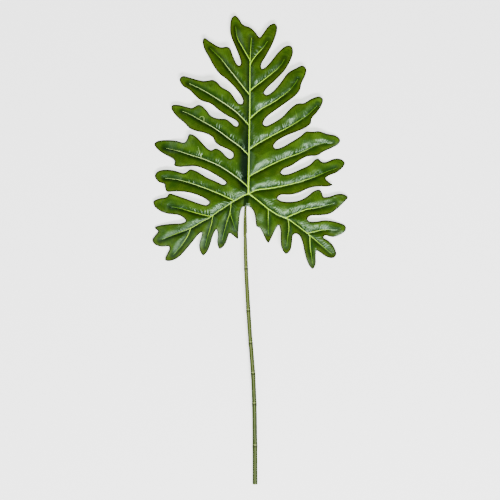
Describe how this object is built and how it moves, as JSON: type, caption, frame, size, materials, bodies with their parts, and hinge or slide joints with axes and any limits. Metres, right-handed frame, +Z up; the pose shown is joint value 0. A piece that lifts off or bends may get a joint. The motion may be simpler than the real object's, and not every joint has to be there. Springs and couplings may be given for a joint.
{
  "type": "philodendron leaf stem",
  "caption": "Deeply lobed split-philodendron leaf with pale raised ribs, on a jointed stem with a straight cut end, lying face up on a flat surface.",
  "frame": {"origin": "middle of the leaf's footprint, on the surface that it lies on", "axes": "+Y from the stem's cut end towards the blade's tip, +X to the right seen from above, +Z up, out of the blade's face"},
  "size_m": [0.2926, 0.7, 0.0194],
  "materials": {
    "blade": "glossy moulded sheet, mid green with darker green beside the ribs and a thin brown edge",
    "ribs": "pale lime, satin",
    "stalk": "pale olive, satin",
    "stem": "olive green, satin, with pale joints"
  },
  "bodies": {
    "root": {"blade": "blade", "ribs": "ribs", "stalk": "stalk", "stem": "stem"}
  },
  "joints": []
}
